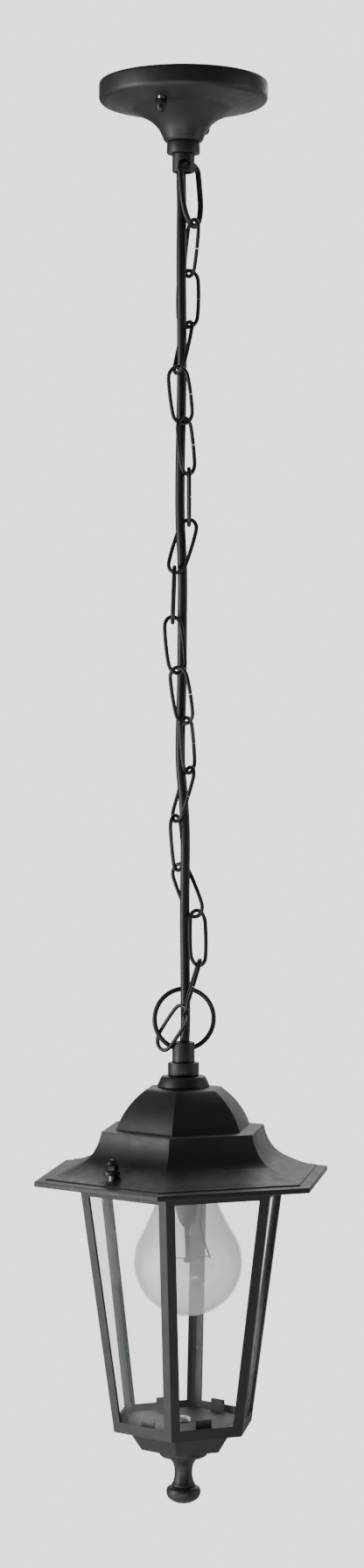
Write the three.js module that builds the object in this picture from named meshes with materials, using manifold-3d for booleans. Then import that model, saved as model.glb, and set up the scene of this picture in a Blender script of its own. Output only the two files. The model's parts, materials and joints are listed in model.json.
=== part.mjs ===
// A hanging lantern: a round ceiling canopy, a link chain with its supply cable woven through it,
// and a six-sided glazed lantern with a lamp. Millimetres, +Z up. The origin is the centre of the
// ceiling plane, so everything lies below z = 0. One corner of the lantern points along -Y.

import * as THREE from 'three';
import { mergeVertices } from 'three/addons/utils/BufferGeometryUtils.js';
import Module from 'manifold-3d';

const wasm = await Module();
wasm.setup();

const DEG = Math.PI / 180;
const HEX = 6;
const COS30 = Math.cos(30 * DEG);
const TAN30 = Math.tan(30 * DEG);

// ---------------------------------------------------------------- driving dimensions

const gap = 0.3;                    // between pieces that touch, seat or interlock
const hangTurn = 9.05;              // degrees from the lantern's corners to the plane of the ring

// Canopy and ceiling fixings
const canopyRadius = 46.7;
const canopyWallHeight = 8.4;
const canopyEdgeRound = 3.3;        // rounded lower edge of the wall
const canopyCreaseRadius = 28;      // where the flat underside turns down into the trumpet
const canopyCreaseDepth = 15.5;
const canopyNeckRadius = 10.4;
const canopyDepth = 33;
const canopySkin = 1.2;
const strapWidth = 16;
const strapThickness = 1.6;
const strapLength = 84;
const strapSlotAt = 22;             // centre of each ceiling screw slot
const strapSlotLength = 9;
const strapSlotWidth = 4.4;
const studRadius = 1.8;
const canopyStudHead = 1.2;
const canopyStudAt = 32.4;
const canopyStudTurn = 247.9;       // degrees, in the plane of the hanging gear
const nutFlats = 6.2;
const nutHexHeight = 3.1;
const nutDomeRadius = 2.6;
const nutDomeHeight = 4.3;
const terminalSize = [26, 15, 9];
const terminalAt = [19, 8];
const terminalHoles = 3;
const terminalHoleRadius = 1.6;
const gripRadius = 6.4;
const gripHeight = 8;

// Threaded tubes, their nuts and collars
const tubeRadius = 4.9;
const tubeBore = 3.6;
const tubeHole = tubeRadius + gap;
const lockNutFlats = 13;
const lockNutHeight = 4.2;
const lockNutRise = 1.2;            // thread that stands past a lock nut
const neckCollarRadius = 9.2;
const neckCollarHeight = 6.4;

// Stems that take the top loop and the ring
const stemRadius = 6.2;
const stemBore = 4.6;
const stemFloor = 1.5;              // between the bore and the threaded tube
const loopStemLength = 9.8;
const loopHoleAbove = 4.3;          // cross hole above the stem's lower end
const loopHoleOffset = 3.5;         // cross hole beside the cable

// Supply cable
const cableRadius = 2.7;
const cableSides = 8;

// Top loop
const loopWire = 3.2;
const loopHalfWidth = 8.2;          // to the middle of the wire
const loopLength = 34.8;
const loopFlat = 3.4;               // half of the straight run in the stem
const loopCorner = 4.8;
const loopTurn = 52.4;
const loopLean = 6;

// Chain
const linkWire = 2.2;
const linkSlack = 1;                // between a link and the wire it hangs on
const linkLength = 33.4;            // outside
const linkWidth = 13.6;             // outside
const linkButt = 0.25;              // open butt between the wire's ends
const linkSteps = 24;
const linkSides = 6;

// How each link hangs, in degrees: lean to the right, lean to the back, turn about its length
const linkHang = [
  [-6, 10, -58], [-1, 0, 0], [-12, -17, -62], [7, 3, 0], [6, 9, 45], [0, 5, -88],
  [-17, -9, -28], [-2, -9, 88], [6, -2, 30], [9, 4, -30], [4.6, 13, 53],
  [-17, 3.5, -60], [5, 13, 58], [22, -14, -28], [0.5, -18, 40], [-17, -9, -86],
];
const lastLinkTurn = -36;
const lastLinkUp = 3.6;             // its top wire, above the wire it hangs on
const lastLinkAside = 2.2;          // its middle, to the left of the ring's wire

// Ring
const ringWire = 2.66;
const ringRadius = 16.7;            // to the middle of the wire
const ringAcross = 1.1;             // ring's centre, to the right of the axis
const ringBack = 3.2;               // ring's plane, behind the axis
const ringTurn = 12;                // degrees, ring's left side turned forward
const ringHookAngle = 37;           // where the last link hooks, from the ring's lowest point

// Lantern stem stack
const ringHoleBelow = 3.5;          // cross hole below the stem's top
const lanternStemLength = 10.9;
const stemCollarRadius = 8.6;
const stemCollarHeight = 7.2;
const roofCapTopRadius = 12.6;
const roofCapRadius = 14.7;
const roofCapHeight = 5.7;

// Roof, given by corner radius and depth below its top
const roofSkin = 1.4;
const domeTopRadius = 22.1;
const domeTopDrop = 0.7;
const domeRadius = 39.6;
const domeDepth = 22.3;
const ledgeRadius = 48;
const ledgeDepth = 22.8;
const skirtRadius = 80;
const skirtDepth = 46.8;
const eavesRadius = 86.7;
const eavesStep = 0.7;
const eavesDepth = 50.8;
const eavesLip = 2.8;

// Roof fixings
const roofStudAt = 61;
const roofStudTurn = 240;
const spacerRadius = 4.5;
const spacerHeight = 2.4;
const roofStudHead = 1.6;

// Cage and glass
const cageTopRadius = 60.8;
const cageBottomRadius = 40.7;
const cageHeight = 138;
const cageSkin = 1.5;
const cageTopBelowRoof = 49.4;
const headerHeight = 7.6;
const sillHeight = 6;
const postLeg = 5.1;
const ledgeInset = 7.2;             // corner radius from the outside to the floor ledge's edge
const flangeInset = 9;
const earWidth = 12;
const earPast = 5;
const glassThickness = 2;
const paneEdge = 1.2;               // glass edge above the floor ledge and below the top flange

// Base and finial
const basePlateThickness = 1.2;
const tabHeight = 8;
const tabWidth = 9;
const tabThickness = 1;
const baseRadius = 31;
const baseLowRadius = 24.6;
const baseBandHeight = 3.2;
const baseHeight = 12.6;
const discRadius = 13.3;
const discHeight = 5.6;
const finialNeckRadius = 4.85;
const finialBallRadius = 9.5;
const finialHeight = 31.1;
const finialBallAt = 19.1;          // ball's middle below the disc
const screwRadius = 2;
const screwHeadRadius = 4.6;
const screwHeadHeight = 2.6;
const screwLength = 24;
const finialBore = 13;

// Lamp
const lampLean = 1.6;               // the lamp leans a little to the right
const holderRadius = 19;
const holderTopRadius = 11;
const holderLength = 41;
const socketDepth = 30;
const lampCapRadius = 13.2;
const lampCapLength = 27;
const bulbRadius = 30;
const bulbLength = 107;
const bulbNeckRadius = 11.4;
const bulbSkin = 0.9;
const leadRadius = 0.4;
const filamentRadius = 0.35;
const filamentSag = 5.4;
const filamentSpread = 12.2;
const mountAbove = 36;              // the mount's foot above the bulb's middle
const socketClear = 0.7;            // round the lamp's screw cap
const holderFloor = 1.5;            // below the socket's shoulder
const lampTube = 6.2;               // threaded tube below the roof's lock nut

// ---------------------------------------------------------------- shapes

const paint = (color, roughness, metalness, extra = {}) =>
  new THREE.MeshStandardMaterial({ color, roughness, metalness, ...extra });

const coat = {
  powder: () => paint(0x2b2b2d, 0.62, 0.2),
  satin: () => paint(0x1c1c1d, 0.4, 0.5),
  steel: () => paint(0xb9bcc0, 0.3, 1),
  flex: () => paint(0x141415, 0.55, 0),
  plastic: () => paint(0xe8e6df, 0.5, 0),
  ceramic: () => paint(0xefece4, 0.35, 0),
  glass: () => paint(0xe9f2ef, 0.05, 0, { transparent: true, opacity: 0.25 }),
  cap: () => paint(0xc9b98a, 0.35, 1),
};

// One closed mesh: shared vertices, no collapsed triangles, faces outwards.
function closed(geometry) {
  geometry.deleteAttribute('normal');
  geometry.deleteAttribute('uv');
  const merged = mergeVertices(geometry, 1e-4);
  const at = merged.attributes.position;
  const kept = [];
  let volume = 0;
  for (let i = 0; i < merged.index.count; i += 3) {
    const [a, b, c] = [0, 1, 2].map((k) => merged.index.getX(i + k));
    if (a === b || b === c || c === a) continue;
    kept.push(a, b, c);
    const [p, q, r] = [a, b, c].map((k) => new THREE.Vector3().fromBufferAttribute(at, k));
    volume += p.dot(q.cross(r));
  }
  if (volume < 0) kept.reverse();
  merged.setIndex(kept);
  return merged;
}

function toManifold(geometry) {
  const solid = closed(geometry);
  return new wasm.Manifold(new wasm.Mesh({
    numProp: 3,
    vertProperties: new Float32Array(solid.attributes.position.array),
    triVerts: new Uint32Array(solid.index.array),
  }));
}

function fromManifold(solid) {
  const mesh = solid.getMesh();
  const geometry = new THREE.BufferGeometry();
  geometry.setAttribute('position', new THREE.BufferAttribute(mesh.vertProperties, 3));
  geometry.setIndex(new THREE.BufferAttribute(mesh.triVerts, 1));
  return geometry;
}

function combine(base, added, removed = []) {
  let solid = toManifold(base);
  for (const piece of added) solid = solid.add(toManifold(piece));
  for (const piece of removed) solid = solid.subtract(toManifold(piece));
  return fromManifold(solid);
}

// A turned piece about Z from a profile of [radius, height] points.
function turned(profile, segments = 24) {
  const points = profile.map(([r, z]) => new THREE.Vector2(Math.max(r, 0), z));
  return closed(new THREE.LatheGeometry(points, segments).rotateX(90 * DEG));
}

// A turned piece whose profile closes on itself.
const turnedRing = (profile, segments) => turned([...profile, profile[0]], segments);

// The same with six flat sides; radii are to the corners and one corner points along -Y.
const hexRing = (profile) => turnedRing(profile, HEX);

function spline(points, divisions) {
  const curve = new THREE.SplineCurve(points.map(([x, y]) => new THREE.Vector2(x, y)));
  return curve.getPoints(divisions).map((p) => [p.x, p.y]);
}

function quadratic(from, control, to, divisions) {
  const ends = [from, control, to].map(([x, y]) => new THREE.Vector2(x, y));
  return new THREE.QuadraticBezierCurve(...ends).getPoints(divisions).map((p) => [p.x, p.y]);
}

function arc(cx, cy, radius, fromDeg, toDeg, divisions) {
  return Array.from({ length: divisions + 1 }, (_, i) => {
    const a = (fromDeg + ((toDeg - fromDeg) * i) / divisions) * DEG;
    return [cx + radius * Math.cos(a), cy + radius * Math.sin(a)];
  });
}

// The profile moved sideways by a distance, to its left as it runs.
function offset(profile, distance) {
  const normals = profile.slice(1).map(([x, y], i) => {
    const [dx, dy] = [x - profile[i][0], y - profile[i][1]];
    const length = Math.hypot(dx, dy);
    return [-dy / length, dx / length];
  });
  return profile.map(([x, y], i) => {
    const a = normals[Math.max(i - 1, 0)];
    const b = normals[Math.min(i, normals.length - 1)];
    const scale = distance / (1 + a[0] * b[0] + a[1] * b[1]);
    return [x + (a[0] + b[0]) * scale, y + (a[1] + b[1]) * scale];
  });
}

// The same for corner radii of a six-sided piece, so that the wall is even on its flats.
function hexOffset(profile, distance) {
  const flats = profile.map(([r, z]) => [r * COS30, z]);
  return offset(flats, distance).map(([r, z]) => [r / COS30, z]);
}

function rod(radius, low, high, segments = 16) {
  return new THREE.CylinderGeometry(radius, radius, high - low, segments)
    .rotateX(90 * DEG).translate(0, 0, (low + high) / 2);
}

function block(width, depth, height) {
  return new THREE.BoxGeometry(width, depth, height);
}

function hexBar(flats, low, high) {
  return rod(flats / 2 / COS30, low, high, HEX);
}

// A wire or cable of round section along a curve.
function wire(curve, radius, sides, steps) {
  const section = Array.from({ length: sides }, (_, i) => {
    const a = (i / sides) * 360 * DEG;
    return new THREE.Vector2(radius * Math.cos(a), radius * Math.sin(a));
  });
  const settings = { steps, bevelEnabled: false, extrudePath: curve };
  return new THREE.ExtrudeGeometry(new THREE.Shape(section), settings);
}

// A flat path stood up in the XZ plane.
class UprightCurve extends THREE.Curve {
  constructor(path) {
    super();
    this.path = path;
  }

  getPoint(t, target = new THREE.Vector3()) {
    const p = this.path.getPoint(t);
    return target.set(p.x, 0, p.y);
  }
}

const group = new THREE.Group();
group.name = 'hanging_lantern';

function piece(parent, name, geometry, material) {
  const mesh = new THREE.Mesh(closed(geometry), material);
  mesh.name = name;
  parent.add(mesh);
  return mesh;
}

function placed(parent, x = 0, y = 0, z = 0, turn = 0) {
  const frame = new THREE.Group();
  frame.position.set(x, y, z);
  frame.rotation.z = turn * DEG;
  parent.add(frame);
  return frame;
}

// ---------------------------------------------------------------- canopy

const hanging = placed(group, 0, 0, 0, hangTurn);
const canopyFloor = canopySkin + 0.2;
const canopyEdgeSteps = 3;

const canopyUnderside = [
  ...arc(canopyRadius - canopyEdgeRound, -canopyWallHeight, canopyEdgeRound, 0, -82, canopyEdgeSteps),
  [canopyCreaseRadius, -canopyCreaseDepth],
  ...spline([
    [canopyCreaseRadius - 1.4, -canopyCreaseDepth - 1],
    [canopyNeckRadius + 8.6, -canopyDepth + 12.4],
    [canopyNeckRadius + 3.9, -canopyDepth + 8],
    [canopyNeckRadius + 1.4, -canopyDepth + 3.4],
    [canopyNeckRadius + 0.6, -canopyDepth + canopyFloor],
  ], 5),
];

function canopyGeometry() {
  const outside = [[canopyRadius - 0.9, 0], [canopyRadius, -1.6], ...canopyUnderside];
  const inside = offset(outside, -canopySkin);
  inside[0][1] = 0;
  const neck = [
    [canopyNeckRadius, -canopyDepth + 0.5], [canopyNeckRadius - 0.6, -canopyDepth],
    [tubeHole, -canopyDepth], [tubeHole, -canopyDepth + canopyFloor],
  ];
  const shell = turnedRing([...outside, ...neck, ...inside.reverse()], 20);
  const holes = [0, 180].map((side) => rod(studRadius + gap, -30, -2, 12)
    .translate(canopyStudAt, 0, 0).rotateZ((canopyStudTurn + side) * DEG));
  return combine(shell, [], holes);
}

// Height of the canopy's flat underside at a radius.
function undersideAt(radius) {
  const [outerR, outerZ] = canopyUnderside[canopyEdgeSteps];
  const share = (outerR - radius) / (outerR - canopyCreaseRadius);
  return outerZ + (-canopyCreaseDepth - outerZ) * share;
}

function strapGeometry() {
  const ends = new THREE.Shape();
  const straight = strapLength / 2 - strapWidth / 2;
  ends.absarc(straight, 0, strapWidth / 2, -90 * DEG, 90 * DEG);
  ends.absarc(-straight, 0, strapWidth / 2, 90 * DEG, 270 * DEG);
  const settings = { depth: strapThickness, bevelEnabled: false, curveSegments: 5 };
  const plate = new THREE.ExtrudeGeometry(ends, settings).translate(0, 0, -strapThickness);
  const slotHalf = (strapSlotLength - strapSlotWidth) / 2;
  const slots = [-1, 1].map((side) => {
    const shape = new THREE.Shape();
    shape.absarc(slotHalf, 0, strapSlotWidth / 2, -90 * DEG, 90 * DEG);
    shape.absarc(-slotHalf, 0, strapSlotWidth / 2, 90 * DEG, 270 * DEG);
    const cut = { depth: 3 * strapThickness, bevelEnabled: false, curveSegments: 5 };
    return new THREE.ExtrudeGeometry(shape, cut)
      .translate(side * strapSlotAt, 0, -2 * strapThickness);
  });
  const holes = [-1, 1].map((side) => rod(studRadius + gap, -2 * strapThickness, 1, 12)
    .translate(side * canopyStudAt, 0, 0));
  return combine(plate, [], [...slots, ...holes]);
}

// A stud with a flat head above what it holds; z = 0 is the underside of the head.
function studGeometry(length, headRadius, headHeight) {
  return turned([
    [0, headHeight], [headRadius, headHeight], [headRadius, 0],
    [studRadius, 0], [studRadius, -length], [0, -length],
  ], 12);
}

// A domed cap nut standing on z = 0 and pointing up, with a blind bore for its stud.
function capNutGeometry() {
  const hex = hexBar(nutFlats, 0, nutHexHeight);
  const dome = turned([
    [0, 0.2], [nutDomeRadius, 0.2], [nutDomeRadius, nutHexHeight + 1],
    ...arc(0, nutHexHeight + 1, nutDomeRadius, 0, 90, 4).slice(1, -1)
      .map(([r, z]) => [r, nutHexHeight + 1 + (z - nutHexHeight - 1) * domeStretch]),
    [0, nutHexHeight + nutDomeHeight],
  ], 12);
  return combine(hex, [dome], [rod(studRadius + gap, -1, nutHexHeight + 1.6, 12)]);
}
const domeStretch = (nutDomeHeight - 1) / nutDomeRadius;

function lockNutGeometry() {
  const nut = hexBar(lockNutFlats, 0, lockNutHeight);
  return combine(nut, [], [rod(tubeHole, -1, lockNutHeight + 1, 16)]);
}

const nutSeat = undersideAt(canopyStudAt - nutFlats / 2 / COS30) - gap;
piece(hanging, 'canopy', canopyGeometry(), coat.powder());
const strapFrame = placed(hanging, 0, 0, 0, canopyStudTurn);
piece(strapFrame, 'mounting_strap', strapGeometry(), coat.steel());

['front', 'rear'].forEach((side, i) => {
  const at = i ? -canopyStudAt : canopyStudAt;
  const headZ = -strapThickness - gap - canopyStudHead;
  const studEnd = -nutSeat + headZ + nutHexHeight + 1;
  const stud = piece(strapFrame, `canopy_stud_${side}`,
    studGeometry(studEnd, studRadius * 2, canopyStudHead), coat.steel());
  stud.position.set(at, 0, headZ);
  const nut = piece(strapFrame, `canopy_cap_nut_${side}`, capNutGeometry(), coat.satin());
  nut.position.set(at, 0, nutSeat);
  nut.rotation.x = 180 * DEG;
});

// Terminal block beside the strap, its three wire ways running across it.
const [blockLong, blockWide, blockHigh] = terminalSize;
const ways = Array.from({ length: terminalHoles }, (_, i) => rod(terminalHoleRadius, -blockWide, blockWide, 8)
  .rotateX(90 * DEG).translate((i - (terminalHoles - 1) / 2) * (blockLong / terminalHoles), 0, 0));
const terminal = piece(hanging, 'terminal_block',
  combine(block(blockLong, blockWide, blockHigh), [], ways), coat.plastic());
terminal.position.set(terminalAt[0], terminalAt[1], -strapThickness - gap - blockHigh / 2 - 0.6);

// Neck: collar below the canopy, lock nut and cord grip on its floor
const collarTop = -canopyDepth - gap;
const neckCollar = piece(hanging, 'neck_collar', turnedRing([
  [tubeHole, 0], [neckCollarRadius, 0], [neckCollarRadius, -neckCollarHeight + 0.9],
  [neckCollarRadius - 0.9, -neckCollarHeight], [tubeHole, -neckCollarHeight],
], 20), coat.satin());
neckCollar.position.z = collarTop;

const neckNutZ = -canopyDepth + canopyFloor + gap;
piece(hanging, 'neck_lock_nut', lockNutGeometry(), coat.steel()).position.z = neckNutZ;
const neckTubeTop = neckNutZ + lockNutHeight + lockNutRise;

// A hollow stem whose wide end takes a cross hole and whose threaded tube runs the other way.
// z = 0 is the shoulder where the stem meets its collar; the tube runs up.
function stemGeometry(length, tube, holeBelow, holeRadius, holeOffset, holeTurn) {
  const body = turnedRing([
    [tubeBore, tube], [tubeRadius, tube], [tubeRadius, 0], [stemRadius, 0],
    [stemRadius, -length + 0.5], [stemRadius - 0.5, -length],
    [stemBore, -length], [stemBore, -stemFloor], [tubeBore, -stemFloor],
  ], 18);
  const hole = rod(holeRadius, -3 * stemRadius, 3 * stemRadius, 16).rotateY(90 * DEG)
    .translate(0, -holeOffset, -holeBelow).rotateZ(holeTurn * DEG);
  return combine(body, [], [hole]);
}

const loopStemTop = collarTop - neckCollarHeight - gap;
const loopHoleZ = loopStemTop - loopStemLength + loopHoleAbove;
const loopDrop = loopCorner - Math.sqrt(loopCorner ** 2 - (stemRadius - loopFlat) ** 2);
const loopHoleRadius = loopWire / 2 + loopDrop / 2 + 1.5 * gap;
const loopStem = piece(hanging, 'loop_stem', stemGeometry(loopStemLength,
  neckTubeTop - loopStemTop, loopStemTop - loopHoleZ + loopDrop / 2,
  loopHoleRadius, loopHoleOffset, loopTurn), coat.powder());
loopStem.position.z = loopStemTop;

// A plastic grip round the cable, standing on the threaded tube
piece(hanging, 'cord_grip', turnedRing([
  [cableRadius + gap, 0], [gripRadius, 0], [gripRadius, gripHeight * 0.7],
  [gripRadius - 1.2, gripHeight], [cableRadius + gap, gripHeight],
], 16), coat.plastic()).position.z = neckTubeTop + gap;

// ---------------------------------------------------------------- top loop and chain

// A stirrup of wire: a short flat run through the stem, round corners, then a long round end.
function loopPath() {
  const path = new THREE.Path();
  const legEnd = -loopLength * 0.5;
  path.moveTo(0.2, 0);
  path.lineTo(loopFlat, 0);
  path.absarc(loopFlat, -loopCorner, loopCorner, 90 * DEG, 0, true);
  path.lineTo(loopHalfWidth, legEnd);
  path.absellipse(0, legEnd, loopHalfWidth, loopLength + legEnd, 0, -180 * DEG, true);
  path.lineTo(-loopHalfWidth, -loopCorner);
  path.absarc(-loopFlat, -loopCorner, loopCorner, 180 * DEG, 90 * DEG, true);
  path.lineTo(-0.2, 0);
  return new UprightCurve(path);
}

const loopFrame = placed(hanging, 0, 0, loopHoleZ, loopTurn);
const topLoop = piece(loopFrame, 'top_loop', wire(loopPath(), loopWire / 2, 8, 28), coat.satin());
topLoop.position.y = -loopHoleOffset;
topLoop.rotation.x = -loopLean * DEG;

// A link hung on the wire at its frame's origin: an oval of wire, open at a butt in one leg.
const linkReach = linkLength - linkWire;

function linkPath(hookWire) {
  const half = (linkWidth - linkWire) / 2;
  const top = (hookWire + linkWire) / 2 + linkSlack;
  const low = top - linkReach + half;
  const middle = top - linkReach / 2;
  const path = new THREE.Path();
  path.moveTo(half, middle - linkButt / 2);
  path.lineTo(half, low);
  path.absarc(0, low, half, 0, -180 * DEG, true);
  path.lineTo(-half, top - half);
  path.absarc(0, top - half, half, 180 * DEG, 0, true);
  path.lineTo(half, middle + linkButt / 2);
  return new UprightCurve(path);
}

const number = (i) => String(i + 1).padStart(2, '0');
const loopBottom = new THREE.Vector3(0, -loopHoleOffset - loopLength * Math.sin(loopLean * DEG),
  loopHoleZ - loopLength * Math.cos(loopLean * DEG))
  .applyAxisAngle(new THREE.Vector3(0, 0, 1), loopTurn * DEG);

let hook = loopBottom;
let hookWire = loopWire;

function hangLink(index, right, back, turn) {
  const link = piece(hanging, `chain_link_${number(index)}`,
    wire(linkPath(hookWire), linkWire / 2, linkSides, linkSteps), coat.satin());
  link.position.copy(hook);
  link.rotation.set(back * DEG, -right * DEG, turn * DEG, 'YXZ');
  return link;
}

for (const [index, [right, back, turn]] of linkHang.entries()) {
  const link = hangLink(index, right, back, turn);
  const next = new THREE.Vector3(0, 0, (hookWire + linkWire) / 2 + linkSlack - linkReach);
  hook = next.applyEuler(link.rotation).add(hook);
  hookWire = linkWire;
}

// The last link stands up inside the one above and reaches to the ring's lower left, and so
// sets the ring's height.
const lastTop = new THREE.Vector3(0, 0, lastLinkUp)
  .applyEuler(hanging.children.at(-1).rotation).add(hook);
const ringCentre = new THREE.Vector3(ringAcross, ringBack, 0)
  .applyAxisAngle(new THREE.Vector3(0, 0, 1), ringTurn * DEG);
const hookOut = new THREE.Vector3(-ringRadius * Math.sin(ringHookAngle * DEG), 0, 0)
  .applyAxisAngle(new THREE.Vector3(0, 0, 1), ringTurn * DEG).add(ringCentre);
const lastReach = linkReach - (linkWire + ringWire) / 2 - linkSlack;
const across = hookOut.x - lastLinkAside - lastTop.x;
const behind = hookOut.y - lastTop.y;
const drop = Math.sqrt(lastReach ** 2 - across ** 2 - behind ** 2);
const ringZ = lastTop.z - drop + ringRadius * Math.cos(ringHookAngle * DEG);
const lastLink = hangLink(linkHang.length, Math.atan2(across, drop) / DEG,
  Math.asin(behind / lastReach) / DEG, lastLinkTurn);
lastLink.position.copy(new THREE.Vector3(0, 0, -linkWire - linkSlack)
  .applyEuler(lastLink.rotation).add(lastTop));

const ring = piece(hanging, 'hanging_ring',
  new THREE.TorusGeometry(ringRadius, ringWire / 2, 8, 32).rotateX(90 * DEG), coat.satin());
ring.position.set(ringCentre.x, ringCentre.y, ringZ);
ring.rotation.z = ringTurn * DEG;

// ---------------------------------------------------------------- supply cable

const cablePoints = [
  [0, 0, -16], [0, 0, -26], [0, 0, -36], [-0.5, 0.4, -41], [-1.2, 1, -45.5],
  [-1.25, 0.75, -53], [-1, -1, -66], [-1.1, -3.2, -84], [-1.2, -4.2, -102], [-1, -4, -126],
  [-0.9, -2.8, -148], [-1, -1.4, -170], [-1.5, -0.4, -196], [-1.9, -0.6, -220],
  [-1.8, -1.2, -242], [-0.6, -0.9, -268], [-0.6, -0.3, -296], [-0.9, -0.2, -330],
  [-1.7, -0.2, -374], [0, 0, -396], [0.9, 0.1, -412], [0.9, 0, -436], [0.7, -0.1, -460],
  [0.9, -0.4, -484], [1, -1.2, -500], [1.1, -1.5, -518], [0.7, -1.4, -529.5],
  [0.3, -0.85, -534.5], [0.1, -0.3, -538.5], [0, 0, -543], [0, 0, -552], [0, 0, -566],
].map((p) => new THREE.Vector3(...p));
const cableCurve = new THREE.CatmullRomCurve3(cablePoints, false, 'centripetal');
piece(hanging, 'supply_cable', wire(cableCurve, cableRadius, cableSides, 44), coat.flex());

// ---------------------------------------------------------------- lantern stem and roof

const ringSag = ringRadius - Math.sqrt(ringRadius ** 2 - (stemRadius + ringAcross) ** 2);
const lantern = placed(group, 0, 0, ringZ - ringRadius + ringSag / 2);

// Heights below the cross hole
const stemShoulder = ringHoleBelow - lanternStemLength;
const stemCollarTop = stemShoulder - gap;
const roofCapTop = stemCollarTop - stemCollarHeight - gap;
const roofTop = roofCapTop - roofCapHeight - gap;
const roofNutTop = roofTop - roofSkin - gap;
const stemTube = stemShoulder - (roofNutTop - lockNutHeight - lampTube);

const lanternStem = piece(lantern, 'lantern_stem', stemGeometry(lanternStemLength, stemTube,
  lanternStemLength - ringHoleBelow, ringWire / 2 + ringSag / 2 + gap, ringBack,
  -hangTurn - ringTurn), coat.powder());
lanternStem.position.z = stemShoulder;
lanternStem.rotation.x = 180 * DEG;

piece(lantern, 'stem_collar', turnedRing([
  [tubeHole, 0], [stemCollarRadius - 0.6, 0], [stemCollarRadius, -0.8],
  [stemCollarRadius, -stemCollarHeight], [tubeHole, -stemCollarHeight],
], 20), coat.powder()).position.z = stemCollarTop;

piece(lantern, 'roof_cap', turnedRing([
  [tubeHole, 0], [roofCapTopRadius - 1.2, 0], [roofCapTopRadius, -1.1],
  [roofCapRadius, -roofCapHeight], [tubeHole, -roofCapHeight],
], 24), coat.powder()).position.z = roofCapTop;

const roofOutside = [
  [domeTopRadius, -domeTopDrop],
  ...quadratic([domeTopRadius, -domeTopDrop], [domeRadius - 4.6, -9.4],
    [domeRadius, -domeDepth], 7).slice(1),
  [ledgeRadius, -ledgeDepth],
  ...spline([
    [ledgeRadius, -ledgeDepth], [ledgeRadius + 2, -ledgeDepth - 6.4],
    [ledgeRadius + 6.5, -ledgeDepth - 13.2], [skirtRadius - 18.9, -skirtDepth + 6.2],
    [skirtRadius - 8, -skirtDepth + 1.6], [skirtRadius, -skirtDepth],
  ], 12).slice(1),
];
const roofLip = [
  [skirtRadius + 0.4, -skirtDepth - eavesStep], [eavesRadius - 0.3, -skirtDepth - eavesStep - 0.5],
  [eavesRadius, -eavesDepth + eavesLip - 0.4], [eavesRadius, -eavesDepth + 0.3],
  [eavesRadius - 0.3, -eavesDepth],
];

// Height of the roof's outside above a point of a flat at that distance from the axis.
function roofAt(apothem) {
  const corner = apothem / COS30;
  const next = roofOutside.findIndex(([r]) => r >= corner);
  const [[r0, z0], [r1, z1]] = [roofOutside[next - 1], roofOutside[next]];
  return z0 + ((z1 - z0) * (corner - r0)) / (r1 - r0);
}

function roofGeometry() {
  const inside = hexOffset(roofOutside, -roofSkin).reverse();
  const shell = hexRing([
    [tubeHole, 0], [domeTopRadius - 5, 0], ...roofOutside, ...roofLip,
    [eavesRadius - 1.8, -eavesDepth], [eavesRadius - 2.2, -skirtDepth - eavesStep - 1.8],
    ...inside, [domeTopRadius - 5.6, -roofSkin], [tubeHole, -roofSkin],
  ]);
  const bore = rod(tubeHole / COS30, -2 * roofSkin, 1, 16);
  const holes = [0, 180].map((side) => rod(studRadius + gap, -eavesDepth, -domeDepth, 12)
    .translate(roofStudAt, 0, 0).rotateZ((roofStudTurn + side) * DEG));
  return combine(shell, [], [bore, ...holes]);
}

const roofFrame = placed(lantern, 0, 0, roofTop);
piece(roofFrame, 'roof', roofGeometry(), coat.powder());
piece(lantern, 'roof_lock_nut', lockNutGeometry(), coat.steel())
  .position.z = roofNutTop - lockNutHeight;

// ---------------------------------------------------------------- cage

const cageTop = roofTop - cageTopBelowRoof;
const faceTilt = Math.atan(((cageTopRadius - cageBottomRadius) * COS30) / cageHeight);
const cageRadiusAt = (z) => cageTopRadius + ((cageTopRadius - cageBottomRadius) * z) / cageHeight;
const skinAcross = cageSkin / Math.cos(faceTilt) / COS30;
const faceTurns = Array.from({ length: HEX }, (_, i) => i * 60);

function windowCutter() {
  const [high, low] = [-headerHeight, -cageHeight + sillHeight];
  const half = (z) => cageRadiusAt(z) / 2 - postLeg;
  const shape = new THREE.Shape([
    new THREE.Vector2(-half(low), low), new THREE.Vector2(half(low), low),
    new THREE.Vector2(half(high), high), new THREE.Vector2(-half(high), high),
  ]);
  const depth = cageTopRadius;
  // drawn across and up, then stood up facing +X
  return new THREE.ExtrudeGeometry(shape, { depth, bevelEnabled: false })
    .rotateX(90 * DEG).rotateZ(90 * DEG).translate(cageBottomRadius * 0.5, 0, 0);
}

function cageGeometry() {
  const ledge = cageBottomRadius - ledgeInset;
  const flange = cageTopRadius - flangeInset;
  const shell = hexRing([
    [flange, 0], [cageTopRadius, 0], [cageBottomRadius, -cageHeight],
    [ledge, -cageHeight], [ledge, -cageHeight + cageSkin],
    [cageRadiusAt(-cageHeight + cageSkin) - skinAcross, -cageHeight + cageSkin],
    [cageRadiusAt(-cageSkin) - skinAcross, -cageSkin], [flange, -cageSkin],
  ]);
  const earLength = roofStudAt + earPast - flange * COS30 - 1;
  const ears = [0, 180].map((side) => block(earLength, earWidth, cageSkin)
    .translate(roofStudAt + earPast - earLength / 2, 0, -cageSkin / 2)
    .rotateZ((roofStudTurn + side) * DEG));
  const holes = [0, 180].map((side) => rod(studRadius + gap, -2 * cageSkin, 1, 12)
    .translate(roofStudAt, 0, 0).rotateZ((roofStudTurn + side) * DEG));
  const windows = faceTurns.map((turn) => windowCutter().rotateZ(turn * DEG));
  return combine(shell, ears, [...windows, ...holes]);
}

const cageFrame = placed(lantern, 0, 0, cageTop);
piece(cageFrame, 'cage', cageGeometry(), coat.powder());

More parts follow.
